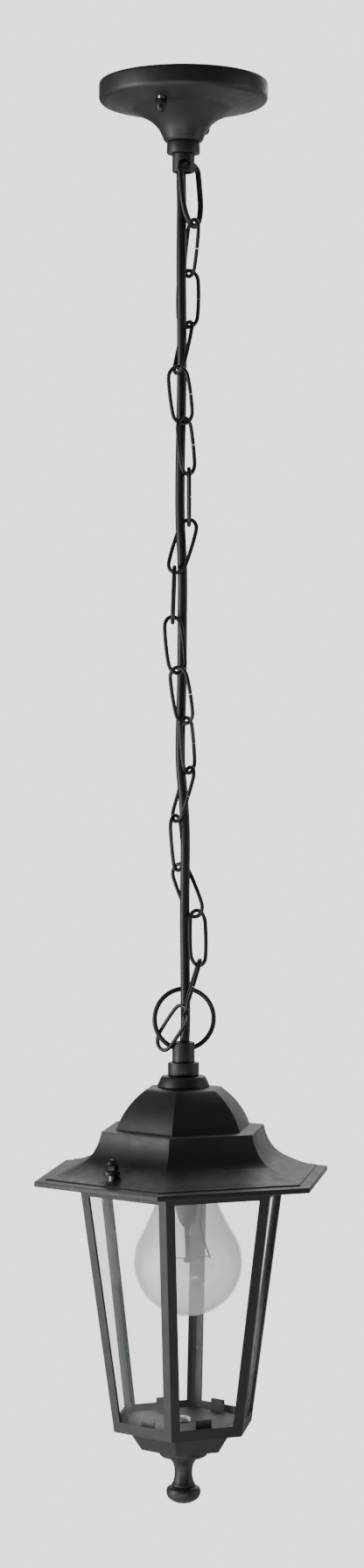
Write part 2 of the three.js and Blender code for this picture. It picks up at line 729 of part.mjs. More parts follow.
// Glass, standing on the floor ledge just inside each window
const paneLow = -cageHeight + cageSkin + paneEdge;
const paneHigh = -cageSkin - paneEdge;
const paneInset = (cageSkin + gap) / Math.cos(faceTilt);
const paneDepth = paneInset + glassThickness / Math.cos(faceTilt);
const paneHalf = (z) => (cageRadiusAt(z) * COS30 - paneDepth) * TAN30 - gap;

function paneGeometry() {
  const rise = (paneHigh - paneLow) / Math.cos(faceTilt);
  const shape = new THREE.Shape([
    new THREE.Vector2(-paneHalf(paneLow), 0), new THREE.Vector2(paneHalf(paneLow), 0),
    new THREE.Vector2(paneHalf(paneHigh), rise), new THREE.Vector2(-paneHalf(paneHigh), rise),
  ]);
  return new THREE.ExtrudeGeometry(shape, { depth: glassThickness, bevelEnabled: false });
}

faceTurns.forEach((turn, i) => {
  const frame = placed(cageFrame, 0, 0, 0, turn);
  const pane = piece(frame, `glass_pane_${i + 1}`, paneGeometry(), coat.glass());
  const across = new THREE.Vector3(0, 1, 0);
  const up = new THREE.Vector3(Math.sin(faceTilt), 0, Math.cos(faceTilt));
  const out = across.clone().cross(up);
  pane.quaternion.setFromRotationMatrix(new THREE.Matrix4().makeBasis(across, up, out));
  const face = cageRadiusAt(paneLow) * COS30 - paneDepth;
  pane.position.set(face, 0, paneLow);
});

// Studs up through the cage's ears and the roof, with a spacer and a cap nut on top
const spacerFoot = roofTop + roofAt(roofStudAt - spacerRadius) + gap;
['front', 'rear'].forEach((side, i) => {
  const frame = placed(lantern, 0, 0, 0, roofStudTurn + 180 * i);
  const headZ = cageTop - cageSkin - gap;
  const studEnd = spacerFoot + spacerHeight + gap + nutHexHeight + 1 - headZ;
  const stud = piece(frame, `roof_stud_${side}`,
    studGeometry(studEnd, studRadius * 1.9, roofStudHead), coat.steel());
  stud.position.set(roofStudAt, 0, headZ);
  stud.rotation.x = 180 * DEG;
  const spacer = piece(frame, `roof_spacer_${side}`, turnedRing([
    [studRadius + gap, 0], [spacerRadius, 0], [spacerRadius, spacerHeight - 0.6],
    [spacerRadius - 0.6, spacerHeight], [studRadius + gap, spacerHeight],
  ], 16), coat.powder());
  spacer.position.set(roofStudAt, 0, spacerFoot);
  const nut = piece(frame, `roof_cap_nut_${side}`, capNutGeometry(), coat.satin());
  nut.position.set(roofStudAt, 0, spacerFoot + spacerHeight + gap);
});

// ---------------------------------------------------------------- base and finial

const plateZ = -cageHeight + cageSkin + gap;
const plateRadius = cageRadiusAt(plateZ) - (paneDepth + 2 * gap) / COS30;

function basePlateGeometry() {
  const plate = hexBar(2 * plateRadius * COS30, 0, basePlateThickness);
  const tabs = faceTurns.map((turn) => block(tabThickness, tabWidth, tabHeight)
    .translate(plateRadius * COS30 - tabThickness / 2, 0, tabHeight / 2)
    .rotateZ(turn * DEG));
  return combine(plate, tabs, [rod(screwRadius + 1.5 * gap, -1, 2 * basePlateThickness, 12)]);
}

piece(cageFrame, 'base_plate', basePlateGeometry(), coat.powder()).position.z = plateZ;

const baseTop = plateZ - gap;
const screwHole = screwRadius + gap;
piece(cageFrame, 'base_cover', hexRing([
  [screwHole / COS30, 0], [baseRadius, 0], [baseRadius, -baseBandHeight],
  [baseLowRadius, -baseHeight], [screwHole / COS30, -baseHeight],
]), coat.powder()).position.z = baseTop;

const finialTop = baseTop - baseHeight - gap;
const ballZ = -discHeight - finialBallAt;
piece(cageFrame, 'finial', turned([
  [0, -finialBore], [screwHole, -finialBore], [screwHole, 0], [discRadius, 0],
  [discRadius, -discHeight + 2.1], [discRadius - 1, -discHeight + 0.9], [7.7, -discHeight],
  ...spline([[7.7, -discHeight - 0.5], [5.6, -discHeight - 3.8],
    [finialNeckRadius, -discHeight - 8.8], [5.6, -discHeight - 13.3]], 5),
  [6.6, -discHeight - 14.9], [6.4, -discHeight - 15.7],
  ...spline([[6.4, -discHeight - 15.7], [finialBallRadius - 0.7, ballZ + 2.4],
    [finialBallRadius, ballZ], [finialBallRadius - 1.2, ballZ - 3.2],
    [4.6, -finialHeight + 0.9], [0, -finialHeight]], 9).slice(1),
], 20), coat.powder()).position.z = finialTop;

const screw = piece(cageFrame, 'finial_screw', turned([
  [0, screwHeadHeight], [screwHeadRadius * 0.55, screwHeadHeight * 0.88],
  [screwHeadRadius * 0.9, screwHeadHeight * 0.5], [screwHeadRadius, 0],
  [screwRadius, 0], [screwRadius, -screwLength], [0, -screwLength],
], 16), coat.steel());
screw.position.z = plateZ + basePlateThickness + gap;

// ---------------------------------------------------------------- lamp

const lampPivot = placed(lantern, 0, 0, roofNutTop - lockNutHeight - 2 * gap, hangTurn);
const lamp = new THREE.Group();
lamp.rotation.y = -lampLean * DEG;
lampPivot.add(lamp);

const socketRadius = lampCapRadius + socketClear;
const holderShoulder = holderLength - socketDepth;
piece(lamp, 'lamp_holder', turnedRing([
  [tubeHole + 0.2, 0], [holderTopRadius, 0], [holderTopRadius + 2, -4],
  [holderRadius, -holderShoulder + 1], [holderRadius, -holderLength + 1],
  [holderRadius - 0.8, -holderLength], [socketRadius, -holderLength],
  [socketRadius, -holderShoulder - holderFloor], [tubeBore, -holderShoulder - holderFloor],
  [tubeBore, -7.4], [tubeHole + 0.2, -7.4],
], 18), coat.ceramic());

// The lamp's own frame: z = 0 at the end contact of its screw cap
const bulb = placed(lamp, 0, 0, -holderShoulder - holderFloor - gap);
const capShell = [
  [0, 0], [4.6, 0], [5, -1.6], [lampCapRadius - 2.4, -3], [lampCapRadius - 0.2, -5],
  ...Array.from({ length: 9 }, (_, i) => [lampCapRadius - (i % 2 ? 0.9 : 0), -6.4 - i * 1.9]),
  [lampCapRadius, -lampCapLength + 1.4], [lampCapRadius, -lampCapLength],
];
piece(bulb, 'bulb_cap', turned([
  ...capShell, [bulbNeckRadius + 0.6, -lampCapLength], [bulbNeckRadius + 0.6, -6],
  [bulbNeckRadius - 3, -4.4], [0, -4.4],
], 14), coat.cap());

const bulbMiddle = -bulbLength + bulbRadius;
const bulbOutside = [
  [bulbNeckRadius, -7.5],
  ...spline([
    [bulbNeckRadius, -lampCapLength - 1],
    [bulbNeckRadius + 2.3, -lampCapLength - 7], [bulbNeckRadius + 6.4, bulbMiddle + 30.9],
    [bulbNeckRadius + 12.2, bulbMiddle + 18.5], [bulbRadius - 1.5, bulbMiddle + 9],
    [bulbRadius, bulbMiddle],
  ], 6),
  ...arc(0, bulbMiddle, bulbRadius, 0, -90, 5).slice(1),
];
const bulbInside = offset(bulbOutside, -bulbSkin);
bulbInside[bulbInside.length - 1][0] = 0;
piece(bulb, 'bulb_glass', turned([...bulbInside.reverse(), ...bulbOutside], 16), coat.glass());

// Glass mount: a flare that narrows to a rod with a button, carrying the lead wires
const mountFoot = bulbMiddle + mountAbove;
piece(bulb, 'bulb_mount', turned([
  [0, mountFoot], [8, mountFoot], [6.4, mountFoot - 5], [4.4, mountFoot - 14],
  [1.6, mountFoot - 18], [1.4, bulbMiddle + 2.4], [2.4, bulbMiddle + 1.4],
  [2.4, bulbMiddle - 0.4], [0, bulbMiddle - 1.2],
], 14), coat.glass());

const leadTip = bulbMiddle + 1.4;
[-1, 1].forEach((side) => {
  const points = [[9.2, mountFoot - 2], [7.4, mountFoot - 15], [9, bulbMiddle + 12],
    [filamentSpread, leadTip]].map(([r, z]) => new THREE.Vector3(side * r, 0, z));
  const curve = new THREE.CatmullRomCurve3(points);
  piece(bulb, side < 0 ? 'lead_wire_left' : 'lead_wire_right', wire(curve, leadRadius, 6, 8),
    coat.cap());
});

const filamentPoints = Array.from({ length: 9 }, (_, i) => {
  const a = (180 + (i * 180) / 8) * DEG;
  const reach = filamentSpread - leadRadius - gap - 0.5;
  return new THREE.Vector3(reach * Math.cos(a), filamentSag * Math.sin(a), leadTip + 1.1);
});
piece(bulb, 'filament', wire(new THREE.CatmullRomCurve3(filamentPoints), filamentRadius, 6, 12),
  coat.steel());

export default group;
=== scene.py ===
import json
import math

import bpy
import numpy as np
from mathutils import Matrix, Vector


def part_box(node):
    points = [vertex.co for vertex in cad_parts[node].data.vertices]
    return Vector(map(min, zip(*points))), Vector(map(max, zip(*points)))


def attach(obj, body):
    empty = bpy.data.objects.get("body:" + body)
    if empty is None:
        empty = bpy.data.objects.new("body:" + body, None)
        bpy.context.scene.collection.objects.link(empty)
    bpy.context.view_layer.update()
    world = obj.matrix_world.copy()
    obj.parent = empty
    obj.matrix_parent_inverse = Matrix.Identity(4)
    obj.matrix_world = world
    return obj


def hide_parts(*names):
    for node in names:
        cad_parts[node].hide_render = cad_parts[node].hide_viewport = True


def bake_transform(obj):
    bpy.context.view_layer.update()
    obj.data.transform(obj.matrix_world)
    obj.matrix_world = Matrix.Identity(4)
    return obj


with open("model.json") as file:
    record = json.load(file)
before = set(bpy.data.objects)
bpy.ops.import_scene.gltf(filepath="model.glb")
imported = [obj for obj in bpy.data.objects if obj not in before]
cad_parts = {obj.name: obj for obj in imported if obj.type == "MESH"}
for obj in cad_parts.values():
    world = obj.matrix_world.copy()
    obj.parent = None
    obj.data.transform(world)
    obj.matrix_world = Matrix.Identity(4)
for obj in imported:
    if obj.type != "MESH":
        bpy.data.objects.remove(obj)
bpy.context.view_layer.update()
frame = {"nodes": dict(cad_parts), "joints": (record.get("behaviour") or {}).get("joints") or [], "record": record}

# The looks of a hanging lantern, built round its CAD frame. The object's own sizes are in
# millimetres, and MM turns them into metres. The camera, stage and lights are in metres.
MM = 0.001
HANG_TURN = math.radians(9.05)      # from the lantern's corners to the plane the chain hangs in
GAP = 0.3                           # between two pieces that fit together
TRUE_CORNER = math.cos(math.radians(30))    # a hexagon's flat over its corner


# ------------------------------------------------------------------ camera

CAMERA_DISTANCE = 1.65
EYE_LEVEL = -0.3665
FOCAL_PIXELS = 3416
PICTURE_HEIGHT = 1792
EYE_ABOVE_MIDDLE = 43               # pixels, from the picture's middle up to eye level
AXIS_RIGHT_OF_MIDDLE = 0.0008

right = Vector((math.cos(HANG_TURN), math.sin(HANG_TURN), 0))
away = Vector((-math.sin(HANG_TURN), math.cos(HANG_TURN), 0))

camera = bpy.data.objects.new("camera", bpy.data.cameras.new("camera"))
bpy.context.scene.collection.objects.link(camera)
camera.data.lens = FOCAL_PIXELS / PICTURE_HEIGHT * camera.data.sensor_width
camera.data.shift_y = -EYE_ABOVE_MIDDLE / PICTURE_HEIGHT
camera.data.clip_end = 20
camera.location = (-AXIS_RIGHT_OF_MIDDLE * right - CAMERA_DISTANCE * away
                   + Vector((0, 0, EYE_LEVEL)))
camera.rotation_euler = (math.radians(90), 0, HANG_TURN)
bpy.context.scene.camera = camera


# ------------------------------------------------------------------ materials

PATCH_SCALE = 60                    # noise scales, per metre
GLOSS_SCALE = 180
GLASS_WAVE_SCALE = 25


def new_material(name):
    material = bpy.data.materials.new(name)
    material.use_nodes = True
    shader = material.node_tree.nodes["Principled BSDF"]
    return material, material.node_tree, shader


def noise(tree, scale, detail=4.0, roughness=0.6):
    place = tree.nodes.new("ShaderNodeTexCoord")
    texture = tree.nodes.new("ShaderNodeTexNoise")
    texture.inputs["Scale"].default_value = scale
    texture.inputs["Detail"].default_value = detail
    texture.inputs["Roughness"].default_value = roughness
    tree.links.new(place.outputs["Object"], texture.inputs["Vector"])
    return texture.outputs["Fac"]


def ramp(tree, factor, low, high, start=0.35, end=0.65):
    node = tree.nodes.new("ShaderNodeValToRGB")
    node.color_ramp.elements[0].position = start
    node.color_ramp.elements[1].position = end
    node.color_ramp.elements[0].color = low
    node.color_ramp.elements[1].color = high
    tree.links.new(factor, node.inputs["Fac"])
    return node.outputs["Color"]


def grey(value, warmth=0.0):
    return (value * (1 + warmth), value, value * (1 - warmth), 1)


def bump(tree, shader, height, strength, distance):
    node = tree.nodes.new("ShaderNodeBump")
    node.inputs["Strength"].default_value = strength
    node.inputs["Distance"].default_value = distance
    tree.links.new(height, node.inputs["Height"])
    tree.links.new(node.outputs["Normal"], shader.inputs["Normal"])


def coated(name, dark, light, rough, grain, depth, specular=0.5, metallic=0.0):
    """A finish with a little variation in colour and roughness, and a fine grain, whose scale is
    per metre and whose depth is in metres."""
    material, tree, shader = new_material(name)
    patches = noise(tree, PATCH_SCALE)
    tree.links.new(ramp(tree, patches, dark, light), shader.inputs["Base Color"])
    gloss = ramp(tree, noise(tree, GLOSS_SCALE), grey(rough[0]), grey(rough[1]))
    tree.links.new(gloss, shader.inputs["Roughness"])
    shader.inputs["Specular IOR Level"].default_value = specular
    shader.inputs["Metallic"].default_value = metallic
    bump(tree, shader, noise(tree, grain, 3.0), 0.5, depth)
    return material


POWDER = coated("powder_coat", grey(0.014, 0.012), grey(0.018, 0.012), rough=(0.44, 0.54),
                specular=0.45, grain=2200, depth=0.000025)
SATIN = coated("satin_black", grey(0.010), grey(0.014), rough=(0.32, 0.44), specular=0.40,
               grain=1500, depth=0.00003)
FLEX = coated("flex_sheath", grey(0.010), grey(0.012), rough=(0.36, 0.46), specular=0.35,
              grain=900, depth=0.00002)
ZINC = coated("zinc_steel", grey(0.45), grey(0.55), rough=(0.26, 0.40), grain=1200,
              depth=0.00002, metallic=1.0)
PLASTIC = coated("plastic", grey(0.60, 0.02), grey(0.64, 0.02), rough=(0.42, 0.5), grain=1600,
                 depth=0.00003)
PORCELAIN = coated("porcelain", grey(0.66, 0.02), grey(0.70, 0.02), rough=(0.12, 0.2),
                   grain=300, depth=0.00002)
LAMP_CAP = coated("lamp_cap", (0.55, 0.49, 0.36, 1), (0.62, 0.56, 0.43, 1), rough=(0.22, 0.34),
                  grain=900, depth=0.00002, metallic=1.0)
LAMP_WIRE = coated("lamp_wire", grey(0.10, 0.1), grey(0.14, 0.1), rough=(0.3, 0.4), grain=900,
                   depth=0.00001, metallic=1.0)


def glass(name, tint, clear, edge, roughness, wave):
    """Clear glass that is thinly veiled face on and denser at its edges."""
    material, tree, shader = new_material(name)
    shader.inputs["Base Color"].default_value = tint
    shader.inputs["Roughness"].default_value = roughness
    shader.inputs["Specular IOR Level"].default_value = 0.5
    weight = tree.nodes.new("ShaderNodeLayerWeight")
    weight.inputs["Blend"].default_value = 0.35
    veil = ramp(tree, weight.outputs["Facing"], grey(clear), grey(edge), 0.05, 0.95)
    tree.links.new(veil, shader.inputs["Alpha"])
    bump(tree, shader, noise(tree, GLASS_WAVE_SCALE, 1.0), 0.2, wave)
    return material


PANE_GLASS = glass("pane_glass", (0.46, 0.49, 0.50, 1), clear=0.02, edge=0.24, roughness=0.04,
                   wave=0.00004)
LAMP_GLASS = glass("lamp_glass", grey(0.95), clear=0.26, edge=0.50, roughness=0.06, wave=0.00005)
MOUNT_GLASS = glass("mount_glass", grey(0.55), clear=0.04, edge=0.40, roughness=0.06,
                    wave=0.00002)

SLOTS = {
    "powder_coat": POWDER, "satin_black": SATIN, "zinc_steel": ZINC, "flex": FLEX,
    "plastic": PLASTIC, "porcelain": PORCELAIN, "lamp_cap": LAMP_CAP, "lamp_glass": LAMP_GLASS,
    "lamp_wire": LAMP_WIRE, "window_glass": PANE_GLASS,
}
SLOT_OF = {entry["node"]: entry["material_slot"] for entry in frame["record"]["subparts"]}
BODY_OF = {
    node: body for body, nodes in frame["record"]["behaviour"]["bodies"].items() for node in nodes
}


# ------------------------------------------------------------------ shapes

SMOOTH_ANGLE = 32                   # degrees: an edge sharper than this stays sharp
WIRE_ANGLE = 50
FINE_ANGLE = 60
EDGE_ANGLE = 34                     # a sharper edge than this is rounded


def smooth(mesh, angle=SMOOTH_ANGLE):
    mesh.shade_smooth()
    mesh.set_sharp_from_angle(angle=math.radians(angle))


def stand_for(piece, node):
    """The piece takes a CAD node's place and its finish."""
    slot = SLOT_OF[node]
    piece.data.materials.clear()
    piece.data.materials.append(SLOTS[slot])
    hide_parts(node)


def applied(piece):
    """The piece's mesh with its modifiers made permanent."""
    depsgraph = bpy.context.evaluated_depsgraph_get()
    mesh = bpy.data.meshes.new_from_object(piece.evaluated_get(depsgraph))
    piece.modifiers.clear()
    piece.data = mesh
    return mesh


def round_edges(piece, width, segments):
    modifier = piece.modifiers.new("edges", "BEVEL")
    modifier.width = width * MM
    modifier.segments = segments
    modifier.limit_method = "ANGLE"
    modifier.angle_limit = math.radians(EDGE_ANGLE)
    return applied(piece)


def add_to_scene(name, mesh):
    piece = bpy.data.objects.new(name, mesh)
    bpy.context.scene.collection.objects.link(piece)
    return piece


def new_piece(name, node, verts, faces, angle=SMOOTH_ANGLE, rides=True):
    """A piece that stands for a node. It rides on the node's body, unless rides is false."""
    mesh = bpy.data.meshes.new(name)
    mesh.from_pydata([tuple(v) for v in verts], [], faces)
    mesh.validate()
    smooth(mesh, angle)
    piece = add_to_scene(name, mesh)
    stand_for(piece, node)
    if rides:
        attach(piece, BODY_OF[node])
    return piece


TINY = 1e-9


def turned(profile, segments=72, place=Matrix()):
    """A profile of (radius, height) in millimetres swept round: vertices and faces.
    It starts and ends on the axis, or closes on itself."""
    on_axis = profile[0][0] < TINY
    rings = []
    verts = []
    for radius, height in profile:
        if radius < TINY:
            rings.append([len(verts)])
            verts.append((0, 0, height))
            continue
        rings.append(range(len(verts), len(verts) + segments))
        for k in range(segments):
            turn = 2 * math.pi * k / segments
            verts.append((radius * math.cos(turn), radius * math.sin(turn), height))
    faces = []
    for lower, upper in zip(rings, rings[1:] if on_axis else rings[1:] + rings[:1]):
        for k in range(segments):
            a, b = lower[k % len(lower)], lower[(k + 1) % len(lower)]
            c, d = upper[(k + 1) % len(upper)], upper[k % len(upper)]
            faces.append(list(dict.fromkeys((a, b, c, d))))
    faces = [face for face in faces if len(face) > 2]
    verts = [place @ (Vector(v) * MM) for v in verts]
    return verts, outward(verts, faces)


def outward(verts, faces):
    """The same faces, turned so that the solid's volume is positive."""
    volume = 0.0
    for face in faces:
        a = verts[face[0]]
        for k in range(1, len(face) - 1):
            volume += a.dot(verts[face[k]].cross(verts[face[k + 1]]))
    return faces if volume > 0 else [face[::-1] for face in faces]


def swept(points, radius, sides=16, closed=False):
    """A round wire along points in metres: vertices and faces."""
    count = len(points)
    verts = []
    side = None
    for i, point in enumerate(points):
        before = points[i - 1] if i or closed else point
        after = points[(i + 1) % count] if i < count - 1 or closed else point
        along = (after - before).normalized()
        if side is None:
            side = along.orthogonal().normalized()
        side = (side - along * side.dot(along)).normalized()
        other = along.cross(side)
        for k in range(sides):
            turn = 2 * math.pi * k / sides
            verts.append(point + radius * (math.cos(turn) * side + math.sin(turn) * other))
    return verts, outward(verts, wire_faces(count, sides, closed))


def wire_faces(count, sides, closed=False):
    """The faces between count rings of that many vertices, and the two ends if it is open."""
    faces = []
    for i in range(count if closed else count - 1):
        here, there = i * sides, ((i + 1) % count) * sides
        for k in range(sides):
            following = (k + 1) % sides
            faces.append([here + k, here + following, there + following, there + k])
    if not closed:
        faces.append(list(range(sides))[::-1])
        faces.append(list(range((count - 1) * sides, count * sides)))
    return faces


def catmull(points, divisions, power=0.0):
    """A smooth curve through points; power 0.5 spaces it by the roots of the chord lengths."""
    points = [Vector(p) for p in points]
    ends = [2 * points[0] - points[1], *points, 2 * points[-1] - points[-2]]
    out = []
    for i in range(len(points) - 1):
        p0, p1, p2, p3 = ends[i:i + 4]
        d0, d1, d2 = [max((q - p).length, TINY) ** power
                      for p, q in ((p0, p1), (p1, p2), (p2, p3))]
        m1 = ((p1 - p0) / d0 - (p2 - p0) / (d0 + d1) + (p2 - p1) / d1) * d1
        m2 = ((p2 - p1) / d1 - (p3 - p1) / (d1 + d2) + (p3 - p2) / d2) * d1
        for k in range(divisions):
            t = k / divisions
            out.append((2 * t**3 - 3 * t**2 + 1) * p1 + (t**3 - 2 * t**2 + t) * m1
                       + (-2 * t**3 + 3 * t**2) * p2 + (t**3 - t**2) * m2)
    return [*out, points[-1]]


def arc(cx, cy, radius, start, end, steps):
    turns = [math.radians(start + (end - start) * i / steps) for i in range(steps + 1)]
    return [(cx + radius * math.cos(t), cy + radius * math.sin(t)) for t in turns]


def eased(profile, size):
    """The closed profile with each corner cut to a small round of about that size."""
    nearly_straight = -0.985
    out = []
    count = len(profile)
    for i, point in enumerate(profile):
        here = Vector(point)
        before, after = Vector(profile[i - 1]), Vector(profile[(i + 1) % count])
        back, on = before - here, after - here
        cut = min(size, back.length / 2.5, on.length / 2.5)
        p, q = here + back.normalized() * cut, here + on.normalized() * cut
        if back.normalized().dot(on.normalized()) < nearly_straight:
            out.append(tuple(here))
        else:
            out += [tuple(p), tuple((p + q + 2 * here) / 4), tuple(q)]
    return out


def bevelled(node, width):
    """A copy of a CAD node with its sharp edges rounded."""
    piece = add_to_scene(f"{node}_finished", frame["nodes"][node].data.copy())
    smooth(round_edges(piece, width, 2), 40)
    stand_for(piece, node)
    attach(piece, BODY_OF[node])


def vertices(node):
    mesh = frame["nodes"][node].data
    flat = np.empty(len(mesh.vertices) * 3)
    mesh.vertices.foreach_get("co", flat)
    return flat.reshape(-1, 3)


def own_axes(node):
    """Where a flat loop of wire lies: its middle, then its width and length directions. The
    length direction points up."""
    points = vertices(node)
    _, directions = np.linalg.eigh(np.cov((points - points.mean(0)).T))
    depth, width, length = (Vector(directions[:, i]) for i in range(3))
    if length.z < 0:
        length = -length
    depth = length.cross(width)
    place = Matrix((width, depth, length)).transposed()
    local = points @ np.array(place)
    middle = place @ Vector((local.max(0) + local.min(0)) / 2)
    return middle, width, length


# ------------------------------------------------------------------ supply cable

CABLE_RADIUS = 2.7
CABLE_SIDES = 24
CABLE_STEPS = 10                    # rings from one point of the route to the next
STEM_CLEAR = 8.5                    # from the lantern's pivot up to the last seam
LAST_BEND = 2.8                     # from that seam down to the middle of the last bend
CABLE_POINTS = [
    (0, 0, -16), (0, 0, -26), (0, 0, -36), (-0.5, 0.4, -41), (-1.2, 1, -45.5),
    (-1.25, 0.75, -53), (-1, -1, -66), (-1.1, -3.2, -84), (-1.2, -4.2, -102), (-1, -4, -126),
    (-0.9, -2.8, -148), (-1, -1.4, -170), (-1.5, -0.4, -196), (-1.9, -0.6, -220),
    (-1.8, -1.2, -242), (-0.6, -0.9, -268), (-0.6, -0.3, -296), (-0.9, -0.2, -330),
    (-1.7, -0.2, -374), (0, 0, -396), (0.9, 0.1, -412), (0.9, 0, -436), (0.7, -0.1, -460),
    (0.9, -0.4, -484), (1, -1.2, -500), (1.1, -1.5, -518), (0.7, -1.4, -529.5),
    (0.3, -0.85, -534.5), (0.1, -0.3, -538.5), (0, 0, -543), (0, 0, -552), (0, 0, -566),
]


def cable_pieces():
    """The cable in one piece per joint of the chain, cut from one route and fixed in place.
    Neighbours meet in the middle of a link."""
    hang = Matrix.Rotation(HANG_TURN, 3, "Z")
    route = [hang @ (p * MM) for p in catmull(CABLE_POINTS, CABLE_STEPS, power=0.5)]
    joints = frame["joints"]
    heights = [joint["pos_m"][2] for joint in joints]
    seams = [route[0].z]
    for above, below in zip(heights, heights[1:]):
        seams.append((above + below) / 2)
    seams[-1] = heights[-1] + STEM_CLEAR * MM
    heights[-1] = seams[-1] - LAST_BEND * MM
    heights[-2] = (seams[-2] + seams[-1]) / 2
    seams.append(route[-1].z)
    cuts = [min(range(len(route)), key=lambda i: abs(route[i].z - seam)) for seam in seams]
    verts, _ = swept(route, CABLE_RADIUS * MM, CABLE_SIDES)
    for i, joint in enumerate(joints):
        first, last = cuts[i], cuts[i + 1]
        part = verts[first * CABLE_SIDES:(last + 1) * CABLE_SIDES]
        shell = outward(part, wire_faces(last - first + 1, CABLE_SIDES))
        piece = new_piece(f"cable_run_{i + 1:02d}", "supply_cable", part, shell, FINE_ANGLE,
                          rides=False)
        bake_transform(piece)


cable_pieces()


# ------------------------------------------------------------------ chain, loop and ring

LINK_WIRE = 2.2
LINK_LENGTH = 33.4
LINK_WIDTH = 13.6
LINK_BUTT = 0.25
LINK_OVAL = 0.3                     # 0 for straight legs, 1 for an ellipse
LINK_STRAIGHT = (LINK_LENGTH - LINK_WIDTH) / 2      # half a straight leg
LINK_HALF = (LINK_WIDTH - LINK_WIRE) / 2            # to the middle of the wire
LOOP_WIRE = 3.2
LOOP_HALF_WIDTH = 8.2
LOOP_LENGTH = 34.8
LOOP_FLAT = 3.4
LOOP_CORNER = 4.8
RING_WIRE = 2.66
RING_RADIUS = 16.7
RING_TURN = math.radians(12)


def butt_side(node, middle, width, length):
    """1 or -1: on which side of the link, along its width, the wire's two ends meet."""
    points = vertices(node) - np.array(middle)
    near = np.abs(points @ np.array(length)) < 0.4 * MM
    sides = points[near] @ np.array(width)
    return 1 if np.sum(sides > 0) >= np.sum(sides < 0) else -1


def oval(x, z):
    """A point of the link's outline drawn part of the way in to an ellipse."""
    share = min(2 * abs(z) / (LINK_LENGTH - LINK_WIRE), 1)
    ellipse = LINK_HALF * math.sqrt(1 - share * share)
    inward = LINK_OVAL * (abs(x) - ellipse)
    return (x - math.copysign(inward, x) if abs(x) > 1e-6 else x, z)


def link_outline():
    """The wire's middle line, from one butt end round to the other."""
    butt = LINK_BUTT / 2
    leg = [(LINK_HALF, -butt - (LINK_STRAIGHT - butt) * i / 8) for i in range(8)]
    bottom = arc(0, -LINK_STRAIGHT, LINK_HALF, 0, -180, 22)
    far_leg = [(-LINK_HALF, -LINK_STRAIGHT + 2 * LINK_STRAIGHT * i / 10) for i in range(1, 10)]
    top = arc(0, LINK_STRAIGHT, LINK_HALF, 180, 0, 22)
    return leg + bottom + far_leg + top + [(x, -z) for x, z in leg[::-1]]


def chain_link(node):
    middle, width, length = own_axes(node)
    side = butt_side(node, middle, width, length)
    outline = [oval(x, z) for x, z in link_outline()]
    points = [middle + (side * x * width + z * length) * MM for x, z in outline]
    verts, faces = swept(points, LINK_WIRE / 2 * MM, 14)
    new_piece(f"{node}_wire", node, verts, faces, WIRE_ANGLE)


def top_loop():
    """A stirrup: a flat top with round corners, and half an ellipse below its straight sides."""
    middle, width, length = own_axes("top_loop")
    top = middle + length * (LOOP_LENGTH / 2 * MM)
    low = -LOOP_LENGTH / 2
    outline = [(0.2, 0)]
    outline += arc(LOOP_FLAT, -LOOP_CORNER, LOOP_CORNER, 90, 0, 10)
    outline += [(LOOP_HALF_WIDTH, low * i / 6 - LOOP_CORNER * (1 - i / 6)) for i in range(1, 6)]
    for i in range(33):
        turn = math.radians(-180 * i / 32)
        outline.append((LOOP_HALF_WIDTH * math.cos(turn),
                        low + (LOOP_LENGTH + low) * math.sin(turn)))
    outline += [(-x, z) for x, z in outline[:16][::-1]]
    points = [top + (x * width + z * length) * MM for x, z in outline]
    verts, faces = swept(points, LOOP_WIRE / 2 * MM, 18)
    new_piece("top_loop_wire", "top_loop", verts, faces, WIRE_ANGLE)


def hanging_ring():
    low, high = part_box("hanging_ring")
    centre = (low + high) / 2
    plane = Matrix.Rotation(HANG_TURN + RING_TURN, 3, "Z") @ Vector((1, 0, 0))
    count = 96
    points = []
    for i in range(count):
        turn = 2 * math.pi * i / count
        spoke = math.cos(turn) * plane + math.sin(turn) * Vector((0, 0, 1))
        points.append(centre + RING_RADIUS * MM * spoke)
    verts, faces = swept(points, RING_WIRE / 2 * MM, 18, closed=True)
    new_piece("hanging_ring_wire", "hanging_ring", verts, faces, WIRE_ANGLE)


for number in range(1, 18):
    chain_link(f"chain_link_{number:02d}")
top_loop()
hanging_ring()

# ------------------------------------------------------------------ turned pieces

CANOPY_RADIUS = 46.7
CANOPY_WALL = 8.4
CANOPY_EDGE = 3.3
CREASE_RADIUS = 28
CREASE_DEPTH = 15.5
NECK_RADIUS = 10.4
CANOPY_DEPTH = 33
CANOPY_SKIN = 1.2
TUBE_RADIUS = 4.9
TUBE_BORE = 3.6
TUBE_HOLE = TUBE_RADIUS + GAP
STEM_RADIUS = 6.2
STEM_BORE = 4.6
STEM_SHOULDER = 1.5
THREAD_PITCH = 1.0
THREAD_DEPTH = 0.35
HOLE_REACH = 30                     # how far a cutter goes on each side of its centre
NECK_COLLAR_RADIUS = 9.2
NECK_COLLAR_HEIGHT = 6.4
STEM_COLLAR_RADIUS = 8.6
STEM_COLLAR_HEIGHT = 7.2
ROOF_CAP_HEIGHT = 5.7
ROOF_CAP_FLARE = [(11.9, 0), (12.6, -1.1), (14.7, -ROOF_CAP_HEIGHT)]
NUT_FLATS = 6.2
NUT_CORNER = NUT_FLATS / 2 / TRUE_CORNER
NUT_RINGS = [(3.348, 0), (NUT_CORNER, 0.35), (NUT_CORNER, 2.8), (3.24, 3.1)]
NUT_DOME_RADIUS = 2.6
NUT_DOME_FOOT = 2.9
SPACER_BORE = 2.1
SPACER_RADIUS = 4.5
SPACER_HEIGHT = 2.4


def top_of(node):
    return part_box(node)[1].z / MM


def foot_of(node):
    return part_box(node)[0].z / MM


